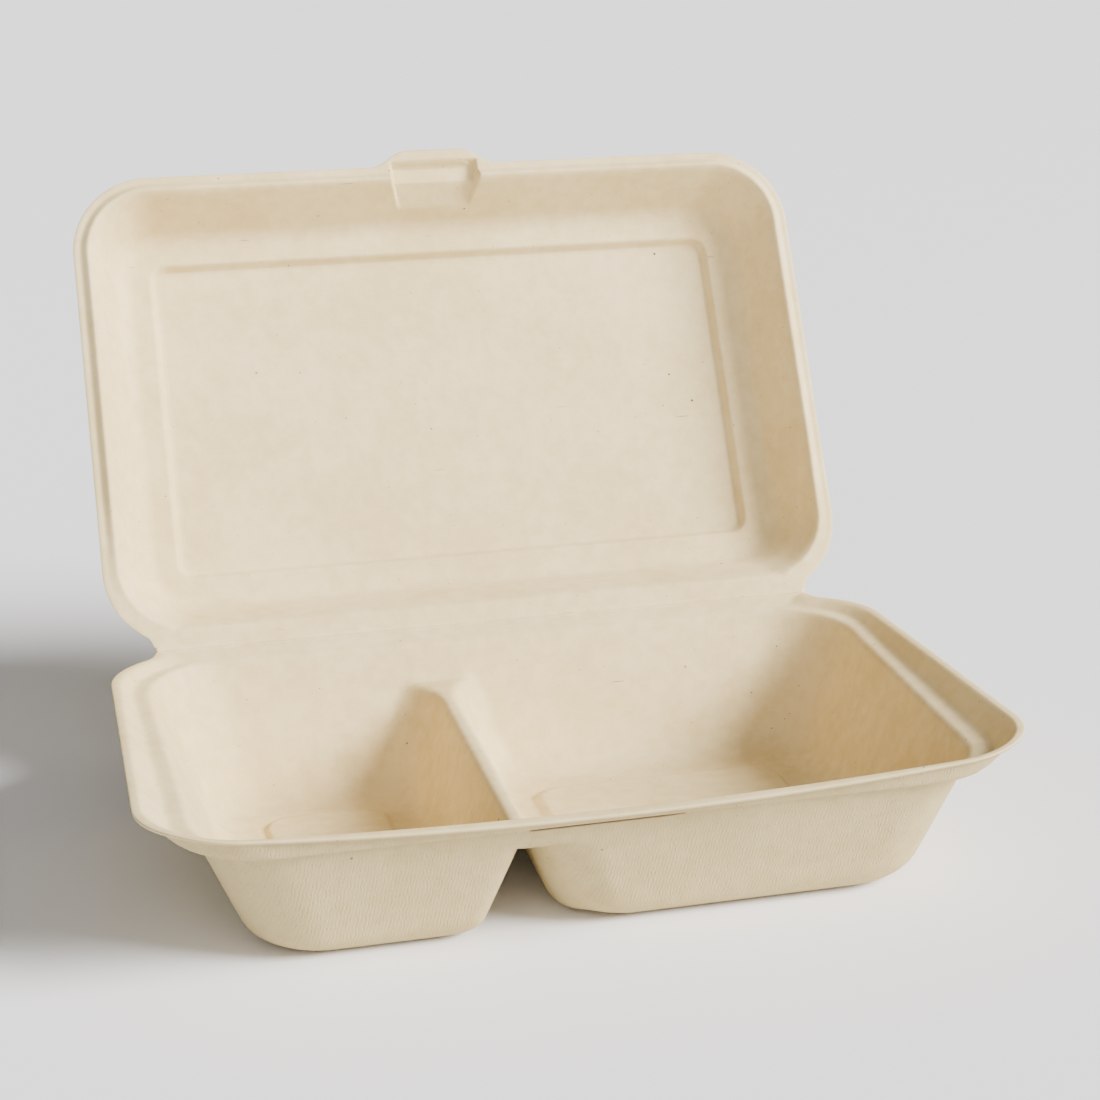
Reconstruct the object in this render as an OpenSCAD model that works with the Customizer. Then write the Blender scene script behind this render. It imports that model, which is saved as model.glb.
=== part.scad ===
// Two-compartment food container in moulded plant fibre: one pressed sheet that
// makes a tray, a fold line and a lid. Millimetres, +Z up, +X to the right.
// The origin is the middle of the tray's foot, on the surface it stands on.

/* [Sheet] */
// Thickness of the pressed sheet in the tray
tray_sheet = 1; // [0.6:0.05:1.4]
// Thickness of the pressed sheet in the lid
lid_sheet = 0.65; // [0.5:0.05:1.2]

/* [Tray rim] */
// Width over the rim
tray_width = 250; // [230:1:270]
// Depth from the fold line to the middle of the front edge
tray_depth = 163.7; // [162:0.1:175]
// Height of the rim above the table
tray_height = 45.7; // [38:1:55]
// How far the middle of the front edge stands out from its ends
front_bow = 2; // [0.5:0.1:4]
// How far the rim sinks towards the middle of its front edge
front_dip = 3.9; // [0:0.1:5]
// Radius of the front corners of the rim
front_corner = 29.3; // [22:0.1:36]
// Radius of the rear corners of the rim
rear_corner = 25.5; // [16:1:30]
// Distance from the fold line to the middle of the rear corner radius
rear_corner_set = 29.5; // [28:1:40]
// Width of the flat lip at the sides
lip_width = 2.7; // [1.5:0.1:5]
// Width of the flat lip at the middle of the front
front_lip = 4; // [3:0.1:5]

/* [Ledge] */
// Depth of the ledge below the rim at the fold line
ledge_drop = 2.6; // [1.5:0.1:5]
// Extra depth of the ledge at the front edge
ledge_fall = 4.8; // [3:0.1:6]
// Horizontal run of the sloping collar at the back end of the sides
collar_run = 3.1; // [1.5:0.1:6]
// How much more the collar runs in at the front end of the sides
collar_gain = 4; // [0:0.1:8]
// Horizontal run of the collar at the middle of the front
front_run = 1.8; // [0.8:0.1:3]
// Distance from the fold line to the rear edge of the ledge
ledge_back = 6.4; // [3:0.1:12]

/* [Wells] */
// Half width between the side walls, at the rim and half way along
well_half = 113.5; // [100:0.1:118]
// How much each side wall turns in from the back to the front
well_taper = 4.2; // [0:0.1:8]
// Distance from the fold line to the back wall, at the rim
well_back = 6.6; // [4:0.1:15]
// Distance from the fold line to the front wall, at the rim
well_front = 157.9; // [150:0.1:158]
// Draft angle of the side walls, in degrees
side_draft = 22.2; // [15:0.5:35]
// Draft angle of the front wall, in degrees
front_draft = 20.3; // [15:0.5:35]
// Draft angle of the back wall, in degrees
back_draft = 23; // [15:0.5:35]
// Rounding between the ledge and the walls
ledge_round = 3; // [1.5:0.1:5]
// Rounding between the outer walls and the floor
floor_round = 11; // [5:0.5:16]
// Radius of the outer upright corners at the ledge
corner_top = 24.7; // [12:0.5:30]
// Radius of the outer upright corners at the floor
corner_floor = 18.7; // [10:0.5:24]
// Radius of the left well's upright corners beside the divider
left_corner = 5; // [5:0.5:16]
// Radius of the right well's upright corners beside the divider
right_corner = 18; // [5:0.5:24]

/* [Divider] */
// Where the divider's crest meets the back wall, left of the middle
divider_back = 20.4; // [0:0.5:50]
// How much further left the crest lies at the front wall
divider_skew = 2.6; // [0:0.1:10]
// Depth of the divider's crest below the rim
divider_drop = 14.2; // [9:0.5:25]
// Width of the flat on the crest
divider_flat = 1; // [0.5:0.1:8]
// Draft angle of the divider's two faces, in degrees
divider_draft = 18.8; // [12:0.5:32]
// Rounding along the two edges of the crest
divider_round = 2.5; // [1.5:0.1:5]
// Rounding between the divider and the floors
divider_foot = 7; // [3:0.5:12]

/* [Floor panels] */
// Height of the raised panel in each floor
panel_rise = 1; // [0.4:0.1:2]
// Run of the sloping edge of a raised panel
panel_run = 1.4; // [0.6:0.1:3]
// Distance from the side walls' line on the floor to the panel
panel_side = 13.5; // [5:0.5:16]
// Distance from the divider's line on the floor to the panel
panel_inner = 10.5; // [4:0.5:14]
// Distance from the front and back walls' lines on the floor to the panel
panel_ends = 17; // [10:0.5:30]
// Corner radius of the raised panels
panel_corner = 9; // [3:0.5:15]

/* [Slot] */
// Length of the slot that takes the lid's tongue
slot_length = 42; // [30:1:60]
// Height of the opening of the slot
slot_gap = 0.8; // [0.4:0.1:3]
// Depth of the slot below the rim
slot_drop = 8.4; // [8:0.1:10]
// Middle of the slot, left of the middle of the tray
slot_left = 4; // [0:0.5:10]

/* [Lid] */
// Width over the lid's lip
lid_width = 247.8; // [228:0.1:268]
// Depth from the fold line to the lid's front edge
lid_depth = 160.3; // [158:0.1:162]
// Radius of the lid's corners
lid_corner = 26.1; // [18:0.5:34]
// Radius of the lid's corners beside the fold line
lid_back_corner = 25.6; // [16:0.5:30]
// Distance from the lid's edge to the raised bead
lid_lip = 2.4; // [1.5:0.1:5]
// Height of the bead that drops inside the tray's rim
bead_height = 1.7; // [0.6:0.1:2.4]
// Run of the bead's outer slope
bead_run = 2; // [0.8:0.1:4]
// Width of the flat on the bead
bead_flat = 1.2; // [0.5:0.1:3]
// Distance from the fold line to the dome's hinge-side wall
dome_back = 6.5; // [4:0.5:15]
// Depth of the dome from the rim to the frame around its panel
dome_depth = 18; // [12:0.5:26]
// Draft angle of the dome's walls, in degrees
dome_draft = 27; // [15:0.5:35]
// Run of the dome's hinge-side wall, as a share of the other walls' run
dome_rear = 1.1; // [0.8:0.05:1.4]
// Rounding between the dome's walls and its frame
dome_round = 6; // [2:0.5:10]
// Radius of the dome's corners at the frame
dome_corner = 13; // [6:0.5:20]
// Width of the frame around the panel
frame_width = 9.2; // [4:0.5:16]
// Depth of the panel's step
step_depth = 3; // [1:0.1:6]
// Run of the panel's sloping edge
step_run = 2.2; // [1:0.1:5]
// Corner radius of the panel
step_corner = 6; // [3.5:0.5:12]

/* [Tongue] */
// Width of the tongue at its root
tongue_root = 44; // [30:1:60]
// Width of the straight part of the tongue's tip
tongue_tip = 18.3; // [8:1:28]
// How far the tongue stands out from the lid's edge
tongue_length = 5.6; // [3:0.1:8]
// Width of the thumb recess behind the tongue
thumb_width = 28; // [18:1:36]
// Depth of the thumb recess
thumb_depth = 3.4; // [2:0.1:6]
// How much deeper the recess gets where it runs into the dome
thumb_slope = 3; // [0:0.1:6]
// How far the recess widens at the lip, on each side
thumb_flare = 1; // [0.4:0.1:2]
// Length of the thumb recess
thumb_length = 20; // [14:0.5:24]
// Length of the level part of the thumb recess
thumb_shelf = 6; // [3:0.5:9]

/* [Fold] */
// Length of the fold line
fold_length = 219.5; // [190:0.5:225]
// Angle between the tray and the lid as it stands
open_angle = 117.2; // [0:0.1:180]
// Clearance on each side of the fold line
fold_gap = 0.15; // [0.1:0.05:0.3]
// Width of the flat beside the fold line
crease_flat = 0.6; // [0.4:0.1:2]
// Distance from the middle of the foot back to the fold line
foot_to_fold = 83.5; // [70:1:100]

/* [Hidden] */
pulp = [0.87, 0.81, 0.71];
// Sides of a quarter turn, and of an edge that is seen at full length
steps = 7;
edge_steps = 10;
// Extra length of a cut past the surface, and the thickness of a slice to span from
over = 1;
skin = 0.01;
// How far below the ledge its rounding starts, so that no two faces lie in one plane
sunk = 0.02;
// Angles at which a rounding has its edges: at the foot of a wall and at its shoulder
foot_angles = [40, 53, 66, 78, 90];
shoulder_angles = [65, 43];
// Angle at which the rear corner arcs start, and the step beside the fold line
rear_arc = 56;
notch = [0.8, 2];
// How far in from the sides the dip of the front edge ends
dip_inset = 10;
// Share of the sheet that a sloping face moves sideways: on a gentle slope and on a steep one
gentle = 0.4;
steep = 0.6;
// How fast an upright corner closes up in the rounding at its foot
corner_pull = 0.6;
// Smallest share of the lid's bead, beside the fold line
bead_least = 0.12;

floor_z = tray_sheet - tray_height;
mid_y = -(well_back + well_front) / 2;
ledge_slope = ledge_fall / tray_depth;
well_slant = well_taper / (well_front - well_back);
divider_slant = divider_skew / (well_front - well_back);

// A quarter turn of radius r that starts at the angle from
function quarter(x, y, r, from) =
    [for (i = [0:steps]) [x + r * cos(from + 90 * i / steps), y + r * sin(from + 90 * i / steps)]];

// A rounded rectangle seen from above: r holds the radii of its left and right corners
function outline(left, right, front, back, r) =
    let (run = right - left - r[0] - r[1])
    concat(
        quarter(right - r[1], back - r[1], r[1], 0),
        quarter(left + r[0], back - r[0], r[0], 90),
        quarter(left + r[0], front + r[0], r[0], 180),
        [for (i = [1:edge_steps - 1]) [left + r[0] + run * i / edge_steps, front]],
        quarter(right - r[1], front + r[1], r[1], 270));

// The same outline in space: its sides lean by the given slants and it lies on a sloping plane
function ring(left, right, front, back, r, z, slope = 0, leans = [0, 0]) =
    [for (p = outline(left, right, front, back, r))
        let (share = (p.x - left) / (right - left))
        [p.x + ((1 - share) * leans[0] + share * leans[1]) * (p.y - mid_y), p.y, z + slope * p.y]];

// The body through a list of rings, from the highest to the lowest
module loft(rings) {
    n = len(rings[0]);
    last = (len(rings) - 1) * n;
    polyhedron([for (r = rings) each r], concat(
        [[for (i = [n - 1:-1:0]) i], [for (i = [0:n - 1]) last + i]],
        [for (k = [0:len(rings) - 2], i = [0:n - 1]) let (j = (i + 1) % n)
            [k * n + i, k * n + j, (k + 1) * n + j, (k + 1) * n + i]]));
}

// How far a wall of the given draft stands in from its line at the rim, at height z.
// The wall ends in a floor rounding, and grow moves it out through the sheet.
function wall_in(z, draft, rounding, bottom, grow) =
    let (zc = bottom + rounding, r = rounding + grow)
    z > zc - r * sin(draft)
        ? -z * tan(draft) - grow / cos(draft)
        : -zc * tan(draft) + rounding / cos(draft) - sqrt(max(0, r * r - (z - zc) * (z - zc)));

// The heights that a floor rounding needs, from the wall down to the floor
function rounding_levels(drafts, rounding, bottom, grow) =
    [for (a = concat(drafts, foot_angles)) bottom + rounding - (rounding + grow) * sin(a)];

// The rim's outline, from the right end of the fold line round the front to its left end
function half_rim() =
    let (side = tray_width / 2, chord = side - front_corner, rear = side - rear_corner)
    let (bow_r = (chord * chord + front_bow * front_bow) / (2 * front_bow))
    let (bow_y = bow_r - tray_depth)
    let (turn = asin(chord / (bow_r - front_corner)))
    let (corner_y = bow_y - sqrt(pow(bow_r - front_corner, 2) - chord * chord))
    concat(
        [[fold_length / 2, 0], [fold_length / 2 + notch.x, -notch.y]],
        [for (i = [0:steps]) let (a = rear_arc * (1 - i / steps))
            [rear + rear_corner * cos(a), rear_corner * sin(a) - rear_corner_set]],
        [for (i = [0:edge_steps]) let (a = -(90 - turn) * i / edge_steps)
            [chord + front_corner * cos(a), corner_y + front_corner * sin(a)]],
        [for (i = [1:edge_steps]) let (a = turn * (1 - i / edge_steps))
            [bow_r * sin(a), bow_y - bow_r * cos(a)]]);

function rim_outline() =
    let (half = half_rim())
    concat(half, [for (i = [len(half) - 2:-1:0]) [-half[i].x, half[i].y]]);

// How far the front edge of the rim has sunk at x
function dip_at(x) = front_dip * max(0, 1 - pow(x / (tray_width / 2 - dip_inset), 2));

// The space below the rim's upper surface, moved down by drop. The front strip holds the dip,
// with no point at the middle, where the collar has one.
module below_rim(drop) {
    half = tray_width / 2;
    dip_half = half - dip_inset;
    strip = tray_depth - front_corner;
    translate([-half, -strip, -tray_height]) cube([2 * half, strip, tray_height - drop]);
    translate([0, -strip, 0]) rotate([90, 0, 0]) linear_extrude(front_corner + over)
        polygon(concat(
            [[-half, -tray_height], [half, -tray_height], [half, -drop]],
            [for (i = [edge_steps:-1:1 - edge_steps]) let (x = dip_half * (2 * i - 1) / (2 * edge_steps - 1))
                [x, -dip_at(x) - drop]],
            [[-half, -drop]]));
}

// The flat lip all round the rim
module lip() {
    difference() {
        translate([0, -fold_gap, -tray_height]) linear_extrude(tray_height + over) polygon(rim_outline());
        below_rim(tray_sheet);
    }
}

// The sloping collar between the lip and the ledge
module collar(grow) {
    side = tray_width / 2 - lip_width;
    middle = tray_depth - front_lip;
    foot = side - collar_run - collar_gain / 2;
    spread = grow * gentle;
    lean = collar_gain / (well_front - well_back);
    corner = front_corner - lip_width + spread;
    foot_corner = corner_top + spread;
    edge = outline(-side - spread, side + spread, -middle - spread, spread - fold_gap - crease_flat,
        [corner, corner]);
    hull() loft([
        [for (p = edge) [p.x, p.y, over]],
        [for (p = edge) [p.x, p.y, (p.y < mid_y ? -dip_at(p.x) : 0) - grow]],
        ring(-foot - spread, foot + spread, front_run - middle - spread, spread - ledge_back,
            [foot_corner, foot_corner], -ledge_drop - grow, ledge_slope, [-lean, lean])]);
}

// A ring of the wells' walls at height z: rise is its height above that level of the walls,
// and out is how far it stands out from them
function wall_ring(z, out, radius, slope = 0, rise = 0) =
    let (side_fall = slope * tan(side_draft), front_fall = slope * tan(front_draft))
    let (half = well_half + z * tan(side_draft) + side_fall * mid_y + out)
    let (front = (1 - front_fall) * well_front + z * tan(front_draft) + out)
    let (back = well_back - z * tan(back_draft) - out, lean = well_slant + side_fall)
    ring(-half, half, -front, -back, [radius, radius], z + rise, slope, [-lean, lean]);

// The shared upper part of the two wells: a rounding from the sloping ledge, then the walls
// down to the divider's crest
module upper_well(grow) {
    turn = ledge_round * tan((90 - back_draft) / 2);
    r = ledge_round - grow;
    rows = concat(
        [[turn, grow > 0 ? 0 : over], [turn, -grow - sunk]],
        [for (a = concat(shoulder_angles, back_draft)) [turn - r * cos(a), r * sin(a) - ledge_round]]);
    loft(concat(
        [for (row = rows) wall_ring(-ledge_drop, row[0], corner_top + row[0], ledge_slope, row[1])],
        [wall_ring(-divider_drop, grow / cos(back_draft) - grow * tan(back_draft),
            corner_top + grow, 0, -grow)]));
}

// Where the divider's crest lies half way along, and the slants of a well's two sides
crest_x = -divider_back + divider_slant * (mid_y + well_back);
function leans(side) = side < 0 ? [-well_slant, divider_slant] : [divider_slant, well_slant];

// Puts a well's two corner radii in order: the outer one and the one beside the divider
function radii(side, outer, inner) = side < 0 ? [outer, inner] : [inner, outer];

// Half width of the divider at its crest, where its faces would meet the flat without a rounding
crest_turn = divider_round * tan((90 - divider_draft) / 2);
crest_half = divider_flat / 2 + crest_turn;

// One well: side is -1 for the left one and 1 for the right one
module well(side, grow) {
    r = divider_round - grow;
    drafts = [divider_draft, side_draft, back_draft];
    crown = concat([[0, grow > 0 ? 0 : over], [0, -grow]],
        [for (a = concat(shoulder_angles, divider_draft)) [r * cos(a), r * sin(a) - divider_round]]);
    levels = concat(
        [for (row = crown) [row[1] - divider_drop, divider_flat / 2 + row[0]]],
        [for (z = rounding_levels(drafts, floor_round, floor_z, grow))
            [z, crest_half + wall_in(z + divider_drop, divider_draft, divider_foot,
                floor_z + divider_drop, grow)]]);
    rings = [for (level = levels)
        let (z = level[0], side_in = wall_in(z, side_draft, floor_round, floor_z, grow))
        let (front_in = wall_in(z, front_draft, floor_round, floor_z, grow))
        let (back_in = wall_in(z, back_draft, floor_round, floor_z, grow))
        let (turned = max(0, side_in + z * tan(side_draft)) * corner_pull)
        let (outer_r = corner_top + (corner_floor - corner_top) * z / floor_z - turned)
        let (inner_r = (side < 0 ? left_corner : right_corner) - turned)
        let (inner = crest_x + side * level[1], outer = side * (well_half - side_in))
        ring(min(inner, outer), max(inner, outer), front_in - well_front, -well_back - back_in,
            radii(side, max(outer_r, divider_round) + grow, max(inner_r, divider_round) + grow),
            z, 0, leans(side))];
    loft([for (i = [0:len(crown) - 1]) rings[i]]);
    hull() loft([for (i = [len(crown) - 1:len(rings) - 1]) rings[i]]);
}

// The raised panel in a well's floor, moved down by drop
module floor_panel(side, drop) {
    side_in = panel_side - floor_z * tan(side_draft);
    front_in = panel_ends - floor_z * tan(front_draft);
    back_in = panel_ends - floor_z * tan(back_draft);
    inner = crest_x + side * (crest_half - (floor_z + divider_drop) * tan(divider_draft) + panel_inner);
    outer = side * (well_half - side_in);
    hull() loft([for (row = [[panel_run, panel_rise], [0, 0], [-panel_run / 2, -panel_rise / 2]])
        ring(min(inner, outer) + row[0], max(inner, outer) - row[0],
            front_in - well_front + row[0], -well_back - back_in - row[0],
            [panel_corner - row[0], panel_corner - row[0]], floor_z + row[1] - drop, 0,
            leans(side))]);
}

// Everything on the food side of the tray's sheet, moved out through it by grow
module tray_form(grow) {
    collar(grow);
    upper_well(grow);
    for (side = [-1, 1]) well(side, grow);
}

// The slot through the front of the tray, just under the ledge
module slot() {
    translate([-slot_left - slot_length / 2, -tray_depth - over, -slot_drop - slot_gap / 2])
        cube([slot_length, tray_depth - well_front + 2 * ledge_round + over, slot_gap]);
}

module tray() {
    color(pulp) translate([0, foot_to_fold, tray_height]) difference() {
        intersection() {
            below_rim(0);
            union() {
                lip();
                tray_form(tray_sheet);
            }
        }
        difference() {
            tray_form(0);
            for (side = [-1, 1]) floor_panel(side, 0);
        }
        for (side = [-1, 1]) floor_panel(side, tray_sheet);
        slot();
    }
}

// The lid's outline lies closed, so its depth runs towards -Y
function lid_outline() =
    let (half = lid_width / 2, rear = lid_back_corner)
    let (start = acos((fold_length / 2 - half + rear) / rear))
    let (right = concat(
        [[fold_length / 2, 0]],
        [for (i = [0:steps]) let (a = start * (1 - i / steps))
            [half - rear + rear * cos(a), rear * sin(a) - rear - over]],
        [for (i = [0:edge_steps]) let (a = -90 * i / edge_steps)
            [half - lid_corner + lid_corner * cos(a), lid_corner * (1 + sin(a)) - lid_depth]],
        [for (i = [0:steps]) let (share = i / steps)
            [(tongue_root + (tongue_tip - tongue_root) * share) / 2,
                -lid_depth - tongue_length * (1 - cos(180 * share)) / 2]]))
    concat(right, [for (i = [len(right) - 1:-1:0]) [-right[i].x, right[i].y]]);

// One ring of the lid, inset from its edge and from the start of its dome
function lid_ring(inset, back, r, z) =
    ring(inset - lid_width / 2, lid_width / 2 - inset, inset - lid_depth, -back, [r, r], z);

// Height of the lid's rings on the bead, which fades out towards the fold line
function bead_z(y, full) =
    -full * min(1, max(bead_least, (-y - dome_back) / (2 * lid_corner - dome_back)));

function fade(points, full, lift) = [for (p = points) [p.x, p.y, bead_z(p.y, full) + lift]];

// The bead, solid from its crest up to the height of the lip
module bead(lift) {
    foot = lid_ring(lid_lip, dome_back - bead_run - bead_flat, lid_corner - lid_lip, lift);
    crest = lid_ring(lid_lip + bead_run, dome_back - bead_flat, lid_corner - lid_lip - bead_run, 0);
    hull() loft([[for (p = foot) [p.x, p.y, lift + lid_sheet / 2]], foot, fade(crest, bead_height, lift)]);
}

// Distance from the lid's edge to the mouth of its dome
dome_start = lid_lip + bead_run + bead_flat;

// The hollow of the dome, moved out through the sheet by grow
module dome(grow) {
    rise = dome_depth + bead_height;
    mouth = lid_ring(dome_start - grow / cos(dome_draft), dome_back - grow / cos(dome_draft),
        lid_corner - dome_start + grow, 0);
    levels = rounding_levels([dome_draft], dome_round, -rise, grow);
    walls = [for (z = levels) let (inset = wall_in(z, dome_draft, dome_round, -rise, grow))
        let (r = lid_corner - dome_start, turned = max(0, inset + z * tan(dome_draft)) * corner_pull)
        lid_ring(dome_start + inset, dome_back + inset * dome_rear,
            r + (dome_corner - r) * min(1, -z / rise) - turned + grow, -z - bead_height)];
    cut = grow > 0 ? 0 : over;
    hull() loft(concat([fade(mouth, bead_height + cut, 0), fade(mouth, bead_height, 0)], walls));
}

// The panel beyond the frame, moved out through the sheet by grow
module lid_panel(grow) {
    inset = (dome_depth + bead_height) * tan(dome_draft) + frame_width;
    spread = grow * gentle;
    hull() loft([for (row = [[-spread, -over], [-spread, grow], [step_run - spread, step_depth + grow]])
        lid_ring(dome_start + inset + row[0], dome_back + inset + row[0], step_corner - row[0],
            dome_depth + row[1])]);
}

// The thumb recess at the front of the dome, from the height bottom up, moved out through
// the sheet by grow: a shelf beside the tongue, then a slope that runs into the dome
module thumb_recess(grow, bottom) {
    half = thumb_width / 2 + grow * steep;
    front = -lid_depth - thumb_flare - grow * steep;
    wider = thumb_flare * (1 - bottom / thumb_depth);
    hull() {
        translate([-half - wider, front - wider, bottom]) cube([2 * (half + wider), thumb_length, skin]);
        translate([-half, front, thumb_depth + grow - skin]) cube([2 * half, thumb_shelf, skin]);
        translate([-half, front + 2 * thumb_shelf, thumb_depth + thumb_slope + grow - skin])
            cube([2 * half, thumb_length - 2 * thumb_shelf, skin]);
    }
}

module lid_body() {
    below = -bead_height - over;
    difference() {
        union() {
            translate([0, -fold_gap, 0]) linear_extrude(lid_sheet) polygon(lid_outline());
            bead(0);
            dome(lid_sheet);
            lid_panel(lid_sheet);
            thumb_recess(lid_sheet, lid_sheet / 2);
        }
        difference() {
            bead(lid_sheet);
            dome(lid_sheet);
            thumb_recess(lid_sheet, below);
        }
        dome(0);
        lid_panel(0);
        thumb_recess(0, below);
    }
}

module lid() {
    color(pulp) translate([0, foot_to_fold, tray_height + fold_gap]) rotate([-open_angle, 0, 0])
        translate([0, 0, fold_gap]) lid_body();
}

tray();
lid();
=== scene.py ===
"""Looks of a two-compartment food container pressed from plant fibre.

Lengths in the classes are millimetres in the sheet's own frame: x to the right,
y towards the back with 0 on the fold line, z upwards with 0 at the rim. Each
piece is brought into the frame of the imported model, in metres, as it is made.
"""

from __future__ import annotations

import logging
import math
from dataclasses import dataclass, field
from enum import Enum

import bmesh
import bpy
import numpy as np
from bmesh.types import BMesh
from bpy.types import Material, Node, NodeSocket as Socket, NodeTree, Object
from mathutils import Matrix, Vector

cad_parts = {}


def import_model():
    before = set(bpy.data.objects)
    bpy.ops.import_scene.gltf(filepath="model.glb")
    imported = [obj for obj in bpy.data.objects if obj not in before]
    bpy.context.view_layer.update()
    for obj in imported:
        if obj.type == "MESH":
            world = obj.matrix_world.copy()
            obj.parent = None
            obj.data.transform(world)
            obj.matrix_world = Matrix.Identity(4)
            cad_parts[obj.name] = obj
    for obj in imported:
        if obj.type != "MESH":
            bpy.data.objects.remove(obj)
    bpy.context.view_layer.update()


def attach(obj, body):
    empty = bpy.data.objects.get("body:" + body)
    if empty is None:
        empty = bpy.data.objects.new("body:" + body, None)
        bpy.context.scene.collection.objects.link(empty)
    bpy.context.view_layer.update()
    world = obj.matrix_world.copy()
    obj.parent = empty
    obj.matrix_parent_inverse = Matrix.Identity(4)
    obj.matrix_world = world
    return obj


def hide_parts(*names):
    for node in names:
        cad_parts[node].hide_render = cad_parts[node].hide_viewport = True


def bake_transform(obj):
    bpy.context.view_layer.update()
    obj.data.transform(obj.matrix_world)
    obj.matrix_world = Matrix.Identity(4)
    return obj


log = logging.getLogger("container")

MM = 0.001
RING_REACH = 60.0  # how far in from the sides a grid's rings go
REAR_END = 65.0  # x on the fold line where a rear corner's outline ends
SCREEN_PITCH = 1.0  # width of one mesh of the forming screen
SPECK_COLOUR = (0.12, 0.07, 0.03, 1.0)
Array = np.ndarray
Triple = tuple[float, float, float]


class Edge(Enum):
    """The sides of a sheet that its rings run along."""

    SIDE = "side"
    FRONT = "front"
    BACK = "back"


def tan(degrees: float) -> float:
    """Tangent of an angle in degrees."""
    return math.tan(math.radians(degrees))


def smoothstep(low: float, high: float, value: Array) -> Array:
    """A soft step from 0 at low to 1 at high."""
    t = np.clip((value - low) / (high - low), 0.0, 1.0)
    return t * t * (3.0 - 2.0 * t)


def soft_min(a: Array, b: Array, reach: float) -> Array:
    """The lower of two heights, rounded where they come within reach.

    Args:
        a: One set of heights.
        b: The other set.
        reach: Height difference at which the rounding starts.

    Returns:
        The rounded minimum.
    """
    h = np.maximum(reach - np.abs(a - b), 0.0) / reach
    return np.minimum(a, b) - h * h * reach / 4.0


def soft_max(a: Array, b: Array, reach: float) -> Array:
    """The higher of two heights, rounded where they come within reach."""
    return -soft_min(-a, -b, reach)


def corner_min(a: Array, b: Array, reach_a: Array, reach_b: Array) -> Array:
    """The smaller of two plan distances, with an upright corner shaped as an ellipse.

    Args:
        a: Distance from one wall.
        b: Distance from the other wall.
        reach_a: How far from the first wall the corner starts.
        reach_b: How far from the second wall it ends.

    Returns:
        The distance from the rounded corner.
    """
    off_a, off_b = 1.0 - a / reach_a, 1.0 - b / reach_b
    square = 1.0 / reach_a**2 + 1.0 / reach_b**2
    half = off_a / reach_a + off_b / reach_b
    root = half**2 - square * (off_a**2 + off_b**2 - 1.0)
    t = (np.sqrt(np.maximum(root, 0.0)) - half) / square
    inside = (root >= 0.0) & (a - t < reach_a) & (b - t < reach_b)
    return np.where(inside, t, np.minimum(a, b))


def shoulder(t: Array, radius: float, slope: float) -> Array:
    """Height below a flat of the wall that falls from its rounded shoulder.

    Args:
        t: Plan distance past the line where flat and wall would meet.
        radius: Radius of the shoulder.
        slope: Tangent of the wall's draft angle.

    Returns:
        Heights, 0 on the flat and negative on the wall.
    """
    draft = math.atan(slope)
    turn = radius * math.tan((math.pi / 2 - draft) / 2)
    arc = np.sqrt(np.maximum(radius**2 - (t + turn) ** 2, 0.0)) - radius
    end = radius * math.cos(draft) - turn
    return np.where(t < -turn, 0.0, np.where(t < end, arc, -t / slope))


def foot(z: Array, floor: float, radius: Array, slope: float) -> Array:
    """Rounds a wall that runs on below the floor into the floor.

    Args:
        z: Heights of the wall, which falls with the given slope.
        floor: Height of the floor.
        radius: Radius of the rounding.
        slope: Tangent of the wall's draft angle.

    Returns:
        Heights of the wall, its rounding and the floor.
    """
    draft = math.atan(slope)
    turn = radius * math.tan((math.pi / 2 - draft) / 2)
    t = (floor - z) * slope
    arc = floor + radius - np.sqrt(np.maximum(radius**2 - np.minimum(turn - t, radius) ** 2, 0.0))
    start = turn - radius * math.cos(draft)
    return np.where(t < start, z, np.where(t < turn, arc, floor))


def stations(keys: tuple[float, ...], counts: tuple[int, ...]) -> Array:
    """Positions that pass through every key, with that many steps between keys."""
    runs = [np.linspace(a, b, n, endpoint=False) for a, b, n in zip(keys, keys[1:], counts)]
    return np.append(np.concatenate(runs), keys[-1])


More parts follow.
